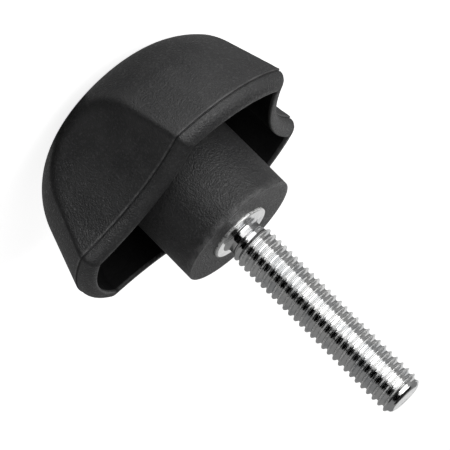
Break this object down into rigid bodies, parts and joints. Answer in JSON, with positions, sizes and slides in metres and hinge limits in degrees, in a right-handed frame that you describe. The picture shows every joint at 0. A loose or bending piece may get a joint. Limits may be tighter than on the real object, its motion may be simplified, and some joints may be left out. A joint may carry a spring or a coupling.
{
  "type": "star knob",
  "caption": "Three-lobed domed clamping knob in black plastic, hollow underneath, with a moulded-in threaded steel stud.",
  "frame": {"origin": "centre of the hub's flat seating face, on the stud's axis", "axes": "+Z out along the stud, away from the dome; +Y through the middle of one lobe"},
  "size_m": [0.0394, 0.0366, 0.0558],
  "materials": {
    "knob_head": "fine spark-eroded grain",
    "threaded_stud": "bright zinc plating"
  },
  "bodies": {
    "root": {"knob_head": "knob_head", "threaded_stud": "threaded_stud"}
  },
  "joints": []
}
